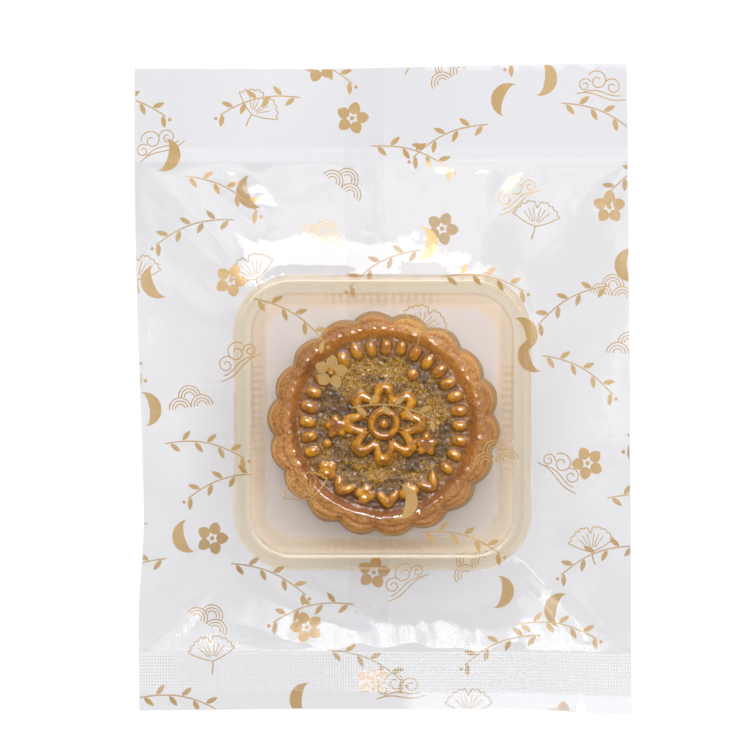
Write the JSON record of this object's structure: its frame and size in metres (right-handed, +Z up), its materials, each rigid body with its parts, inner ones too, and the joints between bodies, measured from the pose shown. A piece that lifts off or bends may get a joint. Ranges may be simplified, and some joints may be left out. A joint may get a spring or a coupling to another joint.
{
  "type": "packed mooncake",
  "caption": "Small round moulded mooncake on a square cream tray, sealed in a clear printed film pouch that lies flat on its back.",
  "frame": {"origin": "centre of the pouch's outline, on the table it lies on", "axes": "+Z up, +Y along the pouch towards its loose flap, +X across it towards the tear notch's side"},
  "size_m": [0.1212, 0.1587, 0.0203],
  "materials": {
    "film": "clear glossy film, slightly creased",
    "print": "satin gold ink",
    "tray": "translucent cream plastic, soft gloss",
    "crust": "baked egg-glazed crust"
  },
  "bodies": {
    "root": {"bag": "film"}
  },
  "joints": []
}
